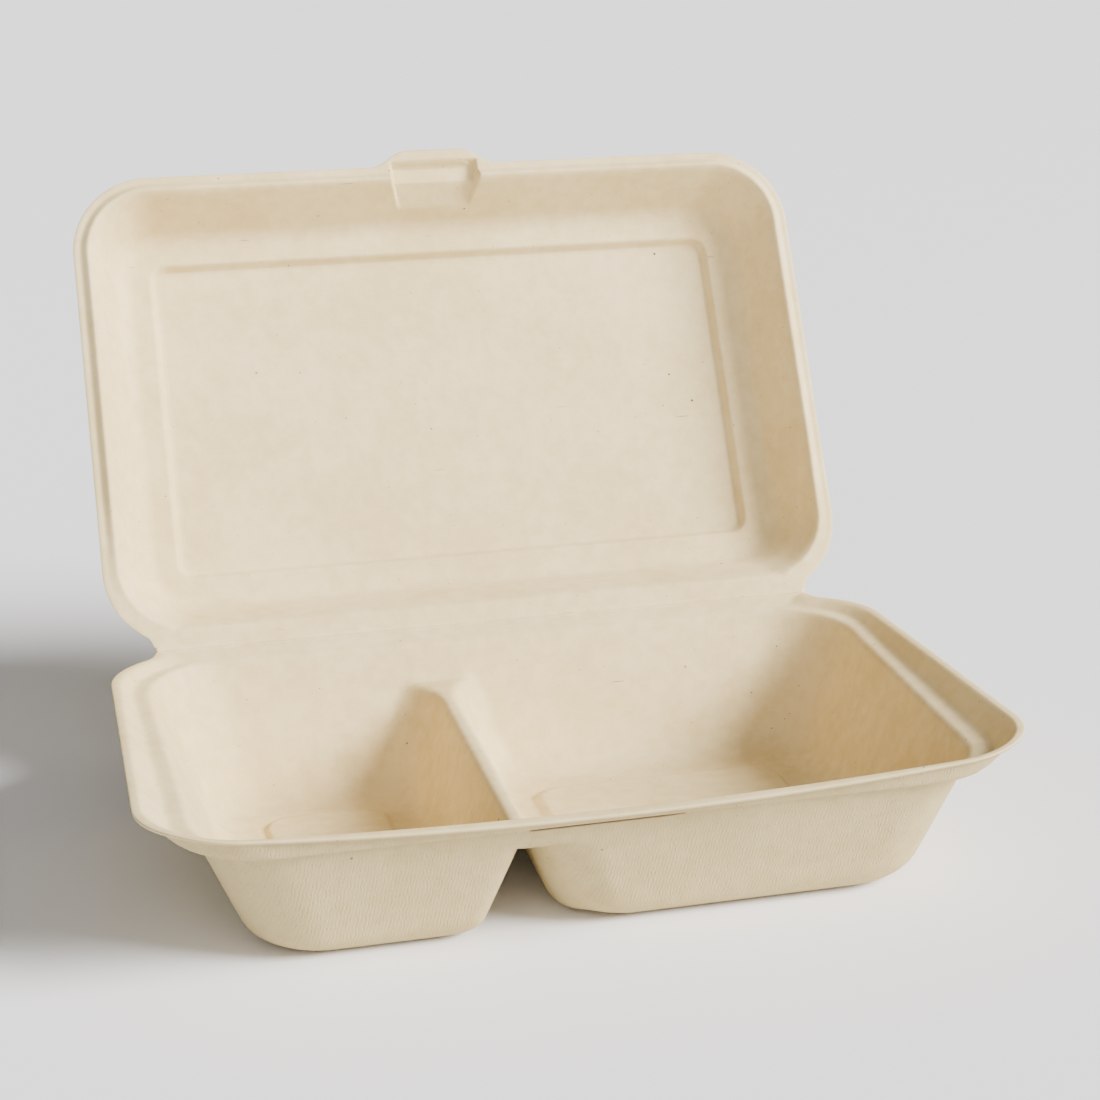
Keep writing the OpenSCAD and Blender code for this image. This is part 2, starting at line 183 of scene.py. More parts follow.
@dataclass
class RingGrid:
    """A grid whose outer lines run round the sheet as rounded rectangles.

    The first rings follow the features of the edge, such as lip and walls, and
    the rest is a plain grid. A ring has its own distance from each side.
    """

    half_width: float
    front: float
    back: float
    side_keys: tuple[float, ...]
    front_keys: tuple[float, ...]
    back_keys: tuple[float, ...]
    counts: tuple[int, ...]
    front_radii: tuple[float, ...]
    back_radii: tuple[float, ...]
    columns: tuple[tuple[float, int], ...]
    rows: int
    x: Array = field(init=False)
    y: Array = field(init=False)
    ring: Array = field(init=False)
    turn: Array = field(init=False)
    to_side: Array = field(init=False)
    to_front: Array = field(init=False)
    to_back: Array = field(init=False)
    corner: Array = field(init=False)
    at_front: Array = field(init=False)
    at_back: Array = field(init=False)

    def create(self, bm: BMesh) -> None:
        """Makes the grid in a bmesh and works out where each vertex lies.

        Args:
            bm: The empty bmesh to fill.
        """
        side, front, back = (
            stations((*keys, RING_REACH), self.counts)
            for keys in (self.side_keys, self.front_keys, self.back_keys)
        )
        places, steps = zip(*self.columns)
        middle = stations(places, steps[1:])
        low, high = self.front + front[-1], self.back - back[-1]
        n = len(side) - 1
        xs = np.concatenate([side - self.half_width, middle[1:-1], self.half_width - side[::-1]])
        ys = np.concatenate(
            [front + self.front, np.linspace(low, high, self.rows + 1)[1:-1], self.back - back[::-1]]
        )
        columns, rows = len(xs) - 1, len(ys) - 1
        bmesh.ops.create_grid(bm, x_segments=columns, y_segments=rows, size=0.5)
        bm.verts.ensure_lookup_table()
        co = np.array([v.co[:2] for v in bm.verts])
        i = np.rint((co[:, 0] + 0.5) * columns).astype(int)
        j = np.rint((co[:, 1] + 0.5) * rows).astype(int)
        self.x, self.y = xs[i].copy(), ys[j].copy()
        in_x, in_y = np.minimum(i, columns - i), np.minimum(j, rows - j)
        self.ring = np.minimum(in_x, in_y)
        self.corner = (in_x < n) & (in_y < n)
        self.at_front = (in_y < n) & (j < rows / 2)
        self.at_back = (in_y < n) & (j > rows / 2)
        self.turn = np.zeros(len(i))
        self.to_side = self.half_width - np.abs(self.x)
        self.to_front = self.y - self.front
        self.to_back = self.back - self.y
        ends = ((False, front, self.front_radii), (True, back, self.back_radii))
        for is_back, reach, radii in ends:
            here = self.corner & ((j > rows / 2) == is_back)
            ring_radii = stations(radii, self.counts)
            self._round(here, in_x, in_y, side, reach, ring_radii, is_back)

    def _round(
        self,
        here: Array,
        in_x: Array,
        in_y: Array,
        side: Array,
        reach: Array,
        radii: Array,
        is_back: bool,
    ) -> None:
        """Bends the square corners of the rings into arcs.

        Args:
            here: Which vertices are in the corner squares at this end.
            in_x: Ring index counted from the nearer side.
            in_y: Ring index counted from the front or back.
            side: Distance of each ring from the side.
            reach: Distance of each ring from the front or back.
            radii: Corner radius of each ring.
            is_back: Whether this is the back end.
        """
        k = self.ring[here]
        hx, hy = side[-1] - side[k], reach[-1] - reach[k]
        r = np.minimum(radii[k], np.minimum(hx, hy))
        v = (reach[-1] - reach[in_y[here]]) / hy
        u = (side[-1] - side[in_x[here]]) / hx
        on_side = in_x[here] <= in_y[here]
        arc = r * math.pi / 4
        s = np.where(on_side, v * (hy - r + arc), u * (hx - r + arc))
        straight = np.where(on_side, hy - r, hx - r)
        angle = np.where(r > 0, np.maximum(s - straight, 0.0) / np.maximum(r, 1e-9), 0.0)
        along = np.where(s < straight, s, straight + r * np.sin(angle))
        drop = np.where(s < straight, 0.0, r * (1 - np.cos(angle)))
        px = np.where(on_side, hx - drop, along)
        py = np.where(on_side, along, hy - drop)
        self.x[here] = np.sign(self.x[here]) * (self.half_width - side[-1] + px)
        edge = self.back - reach[-1] if is_back else self.front + reach[-1]
        self.y[here] = edge + (py if is_back else -py)
        self.turn[here] = np.where(on_side, 0.5 * v, 1.0 - 0.5 * u)
        self.to_side[here] = side[k]
        if is_back:
            self.to_back[here] = reach[k]
        else:
            self.to_front[here] = reach[k]

    def pull_rear(self, path: list[tuple[float, float]], middle_length: float, fade: float) -> None:
        """Draws the outer rings of the rear corners onto the sheet's real outline.

        Args:
            path: The outline at the right, from the side's corner to the fold line.
            middle_length: Length along the path at which the rings' diagonal ends.
            fade: Distance from the edge over which the pull fades out.
        """
        start, end = (self.half_width, self.back - RING_REACH), (REAR_END, self.back)
        points = np.array([start, *path, end])
        lengths = np.append(0.0, np.cumsum(np.hypot(*np.diff(points, axis=0).T)))
        here = self.corner & self.at_back
        turn = self.turn[here]
        rest = lengths[-1] - middle_length
        s = np.where(turn < 0.5, 2 * turn * middle_length, middle_length + (2 * turn - 1) * rest)
        edge = here & (self.ring == 0)
        order = np.argsort(self.turn[edge & (self.x > 0)])
        ex, ey = (a[edge & (self.x > 0)][order] for a in (self.x, self.y))
        et = self.turn[edge & (self.x > 0)][order]
        share = np.clip(1 - np.minimum(self.to_side, self.to_back)[here] / fade, 0.0, 1.0)
        dx = np.interp(s, lengths, points[:, 0]) - np.interp(turn, et, ex)
        dy = np.interp(s, lengths, points[:, 1]) - np.interp(turn, et, ey)
        self.x[here] += np.sign(self.x[here]) * dx * share
        self.y[here] += dy * share

    def blend_sides(self, heights: dict[Edge, Array], rising: bool) -> Array:
        """The height from the three sides' profiles, turned smoothly round the corners.

        Args:
            heights: Height of every vertex by the profile of each side.
            rising: Whether the sheet rises towards its middle.

        Returns:
            One height for every vertex.
        """
        end = np.where(self.to_front < self.to_back, heights[Edge.FRONT], heights[Edge.BACK])
        share = smoothstep(0.0, 1.0, self.turn)
        round_it = heights[Edge.SIDE] * (1 - share) + end * share
        combine = np.minimum if rising else np.maximum
        return np.where(self.corner, round_it, combine(heights[Edge.SIDE], end))


@dataclass
class Sheet:
    """Where the container's two parts stand, and how thick they are."""

    rim_height: float = 45.7
    fold_y: float = 83.5
    fold_gap: float = 0.15
    open_angle: float = 117.2
    tray_sheet: float = 1.0
    lid_sheet: float = 0.65

    @property
    def hinge(self) -> Vector:
        """Middle of the fold line in the model's frame, in millimetres."""
        return Vector((0.0, self.fold_y, self.rim_height + self.fold_gap))

    @property
    def lean(self) -> float:
        """Angle of the open lid above the horizontal, in radians."""
        return math.radians(180.0 - self.open_angle)

    def tray_matrix(self) -> Matrix:
        """From the sheet's frame in millimetres to the model's frame in metres."""
        return Matrix.Scale(MM, 4) @ Matrix.Translation((0, self.fold_y, self.rim_height))

    def lid_matrix(self) -> Matrix:
        """The same for the lid, which opens from the place where it lies closed.

        Returns:
            The lid's matrix.
        """
        turn = Matrix.Rotation(-math.radians(self.open_angle), 4, "X")
        gap = Matrix.Translation((0, 0, self.fold_gap))
        return Matrix.Scale(MM, 4) @ Matrix.Translation(self.hinge) @ turn @ gap


def finished_object(name: str, bm: BMesh, materials: list[Material]) -> Object:
    """Turns a bmesh into a smooth object at the origin.

    Args:
        name: Name of the object and its mesh.
        bm: The finished bmesh, which is freed.
        materials: Materials in the order of the faces' indices.

    Returns:
        The new object, linked to the scene.
    """
    for f in bm.faces:
        f.smooth = True
    mesh = bpy.data.meshes.new(name)
    bm.to_mesh(mesh)
    bm.free()
    for m in materials:
        mesh.materials.append(m)
    obj = bpy.data.objects.new(name, mesh)
    bpy.context.scene.collection.objects.link(obj)
    return obj


def sheet_object(
    name: str,
    bm: BMesh,
    matrix: Matrix,
    thickness: float,
    materials: list[Material],
    food_below: bool = False,
) -> Object:
    """Turns an open sheet into a closed shell with its wall behind the food side.

    Args:
        name: Name of the object.
        bm: The open sheet, which is freed.
        matrix: From the sheet's frame to the model's.
        thickness: Thickness of the wall in millimetres.
        materials: Finishes of the food side, the far side and the cut edges, or one for all.
        food_below: Whether the food side looks down in the sheet's frame.

    Returns:
        The shell.
    """
    bmesh.ops.recalc_face_normals(bm, faces=bm.faces)
    bm.normal_update()
    rises = sum(f.normal.z * f.calc_area() for f in bm.faces) > 0
    if rises == food_below:
        bmesh.ops.reverse_faces(bm, faces=bm.faces)
    bmesh.ops.transform(bm, matrix=matrix, verts=bm.verts)
    obj = finished_object(name, bm, materials)
    wall = obj.modifiers.new("wall", "SOLIDIFY")
    wall.thickness = thickness * MM
    wall.offset = -1.0
    wall.use_even_offset = True
    wall.material_offset = min(1, len(materials) - 1)
    wall.material_offset_rim = len(materials) - 1
    return obj


@dataclass
class TrayShell:
    """The tray: lip, sloping collar, ledge, two wells with a divider, raised floors."""

    sheet: Sheet
    half_width: float = 125.0
    depth: float = 163.7
    front_bow: float = 2.0
    front_dip: float = 3.9
    dip_half: float = 115.0
    dip_reach: float = 24.0
    fold_half: float = 109.75
    notch: tuple[tuple[float, float], ...] = ((2.2, -6.9), (1.1, -5.2), (0.4, -3.2), (0.1, -1.6))
    front_radius: float = 29.3
    rear_radius: float = 25.5
    rear_set: float = 29.5
    rear_fade: float = 7.5
    lip_side: float = 2.7
    lip_front: float = 4.0
    lip_back: float = 0.75
    collar_side: float = 7.8
    collar_front: float = 5.8
    collar_back: float = 6.4
    fold_soft: float = 0.9
    ledge_drop: float = 2.6
    ledge_slope: float = 0.0293
    wall_side: float = 11.5
    wall_front: float = 5.8
    wall_back: float = 6.6
    well_slant: float = 0.0278
    side_draft: float = 22.2
    front_draft: float = 20.3
    back_draft: float = 23.0
    ledge_round: float = 3.0
    floor_round: float = 11.0
    divider_back: float = 20.4
    divider_slant: float = 0.0172
    divider_drop: float = 14.2
    divider_flat: float = 1.0
    divider_draft: float = 18.8
    divider_round: float = 2.5
    divider_foot: float = 7.0
    divider_blend: float = 1.4
    left_corner: float = 5.0
    right_corner: float = 18.0
    rear_corner: float = 12.0
    rear_length: float = 17.0
    panel_rise: float = 1.3
    panel_sides: tuple[tuple[float, float], ...] = ((-81.8, -44.9), (1.5, 81.8))
    panel_middle: float = -83.5
    panel_half: float = 40.9
    panel_corner: float = 9.0
    slant_at: tuple[float, ...] = (-65.0, -48.0, -40.0, 0.0, 20.0, 65.0)
    slot_left: float = 2.0
    slot_length: float = 42.0
    slot_key: int = 6
    slot_rows: int = 2
    slot_curls: tuple[Triple, ...] = ((0.12, 16.5, 20.5), (0.06, -17.0, -21.0))
    edge_roll: float = 0.18

    @property
    def floor(self) -> float:
        """Height of the wells' floors below the rim."""
        return self.sheet.tray_sheet - self.sheet.rim_height

    @property
    def middle(self) -> float:
        """y half way along the wells."""
        return -(self.depth - self.wall_front + self.wall_back) / 2

    def grid(self) -> RingGrid:
        """The grid of the tray, with lines along its lip, walls and divider.

        Returns:
            The grid, not yet made.
        """
        crest = -self.divider_back + self.divider_slant * (self.middle + self.wall_back)
        lip, collar = (self.lip_side, self.lip_front), (self.collar_side, self.collar_front)
        inner = (26.5, 25.6, 25.1, 24.6, 19.6, 14.2, 9.5, 8.0, 0.0)
        return RingGrid(
            half_width=self.half_width,
            front=-self.depth,
            back=-self.sheet.fold_gap,
            side_keys=(0, 1.2, lip[0], collar[0], 11.5, 13.0, 13.7, 14.5, 26.9, 37.2, 42.5, 45.0),
            front_keys=(0, 1.5, lip[1], collar[1], 6.37, 7.7, 8.75, 9.3, 19.7, 30.0, 38.8, 41.3),
            back_keys=(0, 0.4, self.lip_back, 5.5, 5.9, 7.3, 7.9, 8.5, 22.7, 32.9, 42.0, 44.5),
            counts=(4, 4, 8, 4, 3, 1, 3, 12, 12, 5, 4, 8),
            front_radii=(29.3, 28.2, 26.6, 25.2, *inner),
            back_radii=(25.5, 25.3, 25.0, 24.7, *inner),
            columns=(
                (-65.0, 0), (-46.0, 10), (crest - 3.0, 26),
                (crest + 3.0, 10), (0.0, 26), (65.0, 40),
            ),
            rows=36,
        )

    def ledge(self, y: Array) -> Array:
        """Height of the sloping ledge at y."""
        return -self.ledge_drop + self.ledge_slope * y

    def dip(self, x: Array, y: Array) -> Array:
        """How far the front of the rim has sunk at a point."""
        inward = np.clip(1 - (x / self.dip_half) ** 2, 0.0, None)
        return self.front_dip * inward * (y < -self.depth + self.dip_reach)

    def _profile(self, g: RingGrid, edge: Edge) -> Array:
        """Height by one side's profile, from the lip over the ledge and down the wall.

        Args:
            g: The grid.
            edge: Which side's profile to follow.

        Returns:
            Heights, which run on below the floor.
        """
        lip, collar, wall, draft, d = {
            Edge.SIDE: (self.lip_side, self.collar_side, self.wall_side, self.side_draft, g.to_side),
            Edge.FRONT: (
                self.lip_front, self.collar_front, self.wall_front, self.front_draft, g.to_front
            ),
            Edge.BACK: (self.lip_back, self.collar_back, self.wall_back, self.back_draft, g.to_back),
        }[edge]
        ledge = self.ledge(g.y)
        top = -self.dip(g.x, g.y)
        roll = np.clip(1 - d / (0.45 * lip), 0.0, 1.0) ** 2 * self.edge_roll * min(1.0, lip / 2)
        slope = top + (ledge - top) * (d - lip) / (collar - lip)
        rim = soft_min(top - roll, slope, self.fold_soft)
        flat = soft_max(rim, ledge, self.fold_soft)
        past = (d - wall) + ledge * tan(draft)
        return flat + shoulder(past, self.ledge_round, tan(draft))

    def heights(self, g: RingGrid) -> Array:
        """Height of the food side of the sheet at every vertex.

        Args:
            g: The grid, already slanted.

        Returns:
            Heights in millimetres below the rim.
        """
        outer = g.blend_sides({edge: self._profile(g, edge) for edge in Edge}, rising=False)
        slope = tan(self.divider_draft)
        cap = -self.divider_drop
        crest = -self.divider_back + self.divider_slant * (g.y + self.wall_back)
        turn = self.divider_round * math.tan(math.radians((90 - self.divider_draft) / 2))
        off = np.abs(g.x - crest) - self.divider_flat / 2 - turn
        back = (-g.y - self.wall_back) / tan(self.back_draft) + cap
        front = (g.y + self.depth - self.wall_front) / tan(self.front_draft) + cap
        ends = np.minimum(back, front) * slope
        near_front = np.where(g.x < crest, self.left_corner, self.right_corner)
        across = np.where(back < front, self.rear_corner, near_front)
        along = np.where(back < front, self.rear_length, near_front)
        apart = corner_min(off, ends, across, along)
        bar = cap + shoulder(apart, self.divider_round, slope)
        over = bar - outer
        soft = self.divider_blend
        joined = np.where(over > soft, over, 2 * over**2 / soft - over**3 / soft**2)
        walls = outer + np.where(over > 0, joined, 0.0)
        near = smoothstep(-4.0, 8.0, ends - off)
        r = self.floor_round + (self.divider_foot - self.floor_round) * near
        z = foot(walls, self.floor, r, slope)
        return z + self.panel_rise * self._panel(g)

    def _panel(self, g: RingGrid) -> Array:
        """Where the raised panels of the two floors lie.

        Args:
            g: The grid, already slanted.

        Returns:
            1 on the panels and 0 off them.
        """
        inside = np.zeros(len(g.x))
        lean = (g.y - self.middle) * self.well_slant
        slant = (g.y - self.middle) * self.divider_slant
        for left, right in self.panel_sides:
            low = left + (slant if left > 0 else -lean)
            high = right + (lean if left > 0 else slant)
            r = self.panel_corner
            qx = np.abs(g.x - (low + high) / 2) - (high - low) / 2 + r
            qy = np.abs(g.y - self.panel_middle) - self.panel_half + r
            away = np.hypot(np.maximum(qx, 0), np.maximum(qy, 0)) + np.minimum(np.maximum(qx, qy), 0) - r
            inside = np.maximum(inside, 1 - smoothstep(-1.0, 0.2, away))
        return inside

    def _slant(self, g: RingGrid) -> None:
        """Turns the side walls inwards to the front and sets the divider askew.

        Args:
            g: The grid, whose x changes.
        """
        n = sum(g.counts)
        keys = [0, g.counts[0] + g.counts[1], sum(g.counts[:3]), n]
        share = np.interp(g.ring, keys, [0.0, 0.0, 1.0, 1.0])
        well, divider = self.well_slant, self.divider_slant
        lean = np.interp(g.x, self.slant_at, [-well, -well, divider, divider, divider, well])
        g.x += share * lean * (g.y - self.middle)

    def _edges(self, g: RingGrid) -> None:
        """Bows the front edge and narrows the sheet towards the fold line.

        Args:
            g: The grid, whose outer rings move.
        """
        chord = self.half_width - self.front_radius
        lip_rings = g.counts[0] + g.counts[1]
        fade = np.clip(1 - g.ring / lip_rings, 0.0, 1.0) * g.at_front
        fade = np.where(g.corner, fade * smoothstep(0.0, 0.5, g.turn), fade)
        g.y += fade * self.front_bow * np.clip(np.abs(g.x) / chord, 0.0, 1.0) ** 2
        r = self.rear_radius
        path = []
        for a in (math.radians(7.0 * i) for i in range(9)):
            path.append((self.half_width - r + r * math.cos(a), r * math.sin(a) - self.rear_set))
        path += [(self.fold_half + rise, y) for rise, y in self.notch]
        path.append((self.fold_half, g.back))
        g.pull_rear(path, RING_REACH - self.rear_set + math.radians(28.0) * r, self.rear_fade)

    def _curl_slot(self, g: RingGrid) -> None:
        """Turns the rings of the slot up towards the ends of the slot.

        Args:
            g: The grid, before it is slanted.
        """
        row = sum(g.counts[: self.slot_key])
        here = g.at_front & ~g.corner & (g.ring >= row) & (g.ring <= row + self.slot_rows)
        along = g.x + self.slot_left
        curl = sum(rise * smoothstep(start, end, along) for rise, start, end in self.slot_curls)
        shift = np.where(here, curl, 0.0)
        g.y -= shift
        g.to_front -= shift

    def _cut_slot(self, bm: BMesh, g: RingGrid) -> None:
        """Opens the slot for the tongue, in the rows of faces just under the ledge.

        Args:
            bm: The sheet before it is thickened.
            g: Its grid.
        """
        row = sum(g.counts[: self.slot_key])
        rings = g.ring[[v.index for v in bm.verts]]
        found = []
        for f in bm.faces:
            c = f.calc_center_median()
            if abs(c.x + self.slot_left) < self.slot_length / 2 and c.y < self.middle:
                ks = sorted({int(rings[v.index]) for v in f.verts})
                if ks[0] >= row and ks[-1] <= row + self.slot_rows:
                    found.append(f)
        bmesh.ops.delete(bm, geom=found, context="FACES")

    def build(self, finishes: list[Material]) -> Object:
        """Makes the tray's shell.

        Args:
            finishes: Finishes of the food side, the underside and the cut edges.

        Returns:
            The tray as one closed shell.
        """
        bm = bmesh.new()
        g = self.grid()
        g.create(bm)
        self._edges(g)
        self._curl_slot(g)
        self._slant(g)
        for v, x, y, h in zip(bm.verts, g.x, g.y, self.heights(g)):
            v.co = (x, y, h)
        self._cut_slot(bm, g)
        wall = self.sheet.tray_sheet
        return sheet_object("tray_shell", bm, self.sheet.tray_matrix(), wall, finishes)


@dataclass
class LidShell:
    """The lid, as it lies closed: lip, bead, dome, framed panel, tongue, thumb recess."""

    sheet: Sheet
    half_width: float = 123.9
    depth: float = 160.3
    fold_half: float = 109.75
    front_radius: float = 26.1
    rear_radius: float = 25.6
    rear_fade: float = 8.0
    lip: float = 2.4
    bead_run: float = 2.0
    bead_flat: float = 1.2
    bead_height: float = 1.7
    bead_least: float = 0.12
    bead_soft: float = 0.5
    dome_soft: float = 2.2
    dome_back: float = 6.5
    dome_depth: float = 18.0
    dome_draft: float = 27.0
    dome_rear: float = 1.1
    dome_round: float = 6.0
    frame: float = 9.2
    step_depth: float = 3.0
    step_run: float = 2.2
    tongue_root: float = 44.0
    tongue_tip: float = 18.3
    tongue_length: float = 5.6
    thumb_width: float = 28.0
    thumb_depth: float = 3.4
    thumb_slope: float = 6.1
    thumb_flare: float = 1.0
    thumb_shelf: float = 6.0
    thumb_steep: tuple[float, float] = (3.4, 3.6)
    thumb_soft: float = 0.9
    thumb_length: float = 20.0
    notch: tuple[tuple[float, float], ...] = ((1.6, -4.5), (0.6, -2.9), (0.15, -1.5))
    edge_roll: float = 0.25

    @property
    def mouth(self) -> float:
        """Distance from the edge to the mouth of the dome."""
        return self.lip + self.bead_run + self.bead_flat

    @property
    def wall_run(self) -> float:
        """How far the dome's wall runs in from its mouth to the frame."""
        return (self.dome_depth + self.bead_height) * tan(self.dome_draft)

    def grid(self) -> RingGrid:
        """The grid of the lid, with lines along its bead, dome, frame and panel.

        Returns:
            The grid, not yet made.
        """
        end = self.mouth + self.wall_run
        step = end + self.frame
        bead = self.mouth - self.bead_flat
        keys = (0, 0.9, self.lip, bead, self.mouth, end - 1.8, end + 3.7, step, step + self.step_run)
        back = self.dome_back - self.mouth
        rear = (0, 0.5, self.lip + back, bead + back, self.dome_back, end, end + 5.2, step + back)
        inner = (24.0, 22.0, 20.8, 16.0, 11.0, 6.0, 4.2, 3.0, 0.0)
        return RingGrid(
            half_width=self.half_width,
            front=-self.depth,
            back=-self.sheet.fold_gap,
            side_keys=(*keys, 34.0),
            front_keys=(*keys, 34.0),
            back_keys=(*rear, step + back + self.step_run, 35.0),
            counts=(5, 6, 6, 4, 10, 10, 8, 7, 4, 12),
            front_radii=(26.4, 25.5, *inner),
            back_radii=(25.6, 25.0, *inner),
            columns=(
                (-63.9, 0), (-24.0, 20), (-17.5, 6), (-12.5, 14),
                (12.5, 22), (17.5, 14), (24.0, 6), (63.9, 20),
            ),
            rows=36,
        )

    def _profile(self, g: RingGrid, edge: Edge) -> Array:
        """Height by one side's profile, from the lip over the bead and up the dome.

        Args:
            g: The grid.
            edge: Which side's profile to follow.

        Returns:
            Heights of the food side.
        """
        d = {Edge.SIDE: g.to_side, Edge.FRONT: g.to_front, Edge.BACK: g.to_back}[edge]
        rear = edge is Edge.BACK
        shift = self.dome_back - self.mouth if rear else 0.0
        slope = tan(self.dome_draft) * (self.dome_rear if rear else 1.0)
        fade = (-g.y - self.dome_back) / (2 * self.front_radius - self.dome_back)
        bead = self.bead_height * np.clip(fade, self.bead_least, 1.0)
        roll = np.clip(1 - d / (0.5 * self.lip), 0.0, 1.0) ** 2 * self.edge_roll
        run = (d - self.lip - shift) / self.bead_run
        low = soft_max(soft_min(roll, -bead * run, self.bead_soft), -bead, self.bead_soft)
        wall = (d - self.mouth - shift) / slope - bead
        up = soft_max(low, wall, self.dome_soft)
        dome = -foot(-up, -self.dome_depth, np.full(len(d), self.dome_round), slope)
        start = self.mouth + self.wall_run + self.frame + shift
        return dome + self.step_depth * smoothstep(start - 0.1, start + self.step_run + 0.2, d)

    def _tongue(self, g: RingGrid) -> None:
        """Draws the front edge out into the tongue and narrows the sheet at the fold.

        Args:
            g: The grid, whose outer rings move.
        """
        root, tip = self.tongue_root / 2, self.tongue_tip / 2
        share = np.clip((root - np.abs(g.x)) / (root - tip), 0.0, 1.0)
        fade = np.clip(1 - g.to_front / self.lip, 0.0, 1.0) * g.at_front * ~g.corner
        g.y -= fade * self.tongue_length * (1 - np.cos(np.pi * share)) / 2
        r = self.rear_radius
        start = math.acos((self.fold_half - self.half_width + r) / r)
        path = []
        for a in (start * i / 8 for i in range(8)):
            path.append((self.half_width - r + r * math.cos(a), r * math.sin(a) - r - 1.0))
        path += [(self.fold_half + rise, y) for rise, y in self.notch]
        path.append((self.fold_half, g.back))
        g.pull_rear(path, RING_REACH - r + start / 2 * r, self.rear_fade)

    def heights(self, g: RingGrid) -> Array:
        """Height of the food side at every vertex, with the thumb recess.

        Args:
            g: The grid with its tongue.

        Returns:
            Heights in millimetres above the lip.
        """
        z = g.blend_sides({edge: self._profile(g, edge) for edge in Edge}, rising=True)
        front = -self.depth - self.thumb_flare
        along = (g.y - front - self.thumb_shelf) / self.thumb_shelf
        roof = self.thumb_depth + self.thumb_slope * np.clip(along, 0.0, 1.0)
        steep_front, steep_sides = self.thumb_steep
        step = (g.y - front + 0.6) * steep_front
        sides = (self.thumb_width / 2 + self.thumb_flare - np.abs(g.x)) * steep_sides
        recess = np.minimum(np.minimum(roof, step), sides)
        here = (recess > -2.0) & (g.y < front + self.thumb_length)
        return np.where(here, soft_max(z, recess, self.thumb_soft), z)

    def build(self, finishes: list[Material]) -> Object:
        """Makes the lid's shell.

        Args:
            finishes: Finishes of the food side, the outside and the cut edges.

        Returns:
            The lid as one closed shell, open as in the photograph.
        """
        bm = bmesh.new()
        g = self.grid()
        g.create(bm)
        self._tongue(g)
        for v, x, y, h in zip(bm.verts, g.x, g.y, self.heights(g)):
            v.co = (x, y, h)
        where, wall = self.sheet.lid_matrix(), self.sheet.lid_sheet
        return sheet_object("lid_shell", bm, where, wall, finishes, food_below=True)


@dataclass
class FoldStrip:
    """The crease that joins tray and lid, a band bent to the open lid's angle."""

    sheet: Sheet
    half_width: float = 109.6
    reach: float = 1.2
    proud: float = 0.03
    bend: float = 1.1
    wander: float = 0.5
    ridge: float = 0.12
    ridge_reach: float = 0.5
    columns: int = 200
    rows: int = 16
    seed: int = 7

    def build(self, finish: Material) -> Object:
        """Makes the crease as one closed band across the joint.

        Args:
            finish: The crease's finish.

        Returns:
            The band, bent as in the photograph.
        """
        bm = bmesh.new()
        bmesh.ops.create_grid(bm, x_segments=self.columns, y_segments=self.rows, size=0.5)
        rng = np.random.default_rng(self.seed)
        knots = np.arange(0, self.columns + 5, 4)
        wander = np.interp(np.arange(self.columns + 1), knots, rng.uniform(-0.5, 0.5, len(knots)))
        lean = self.sheet.lean
        for v in bm.verts:
            column = round((v.co.x + 0.5) * self.columns)
            t = v.co.y * 2
            reach = self.reach + wander[column] * self.wander
            s = t * reach
            x = v.co.x * 2 * self.half_width
            on_lid = max(s, 0.0)
            soft = self.ridge * math.exp(-((s / self.ridge_reach) ** 2))
            y = min(s, 0.0) + on_lid * math.cos(lean) - soft
            z = on_lid * math.sin(lean) + self.proud + soft + self.sheet.fold_gap * (1 + t) / 2
            v.co = (x, y, z)
        wall = self.sheet.lid_sheet + 2 * self.proud
        return sheet_object("fold_strip", bm, self.sheet.tray_matrix(), wall, [finish])


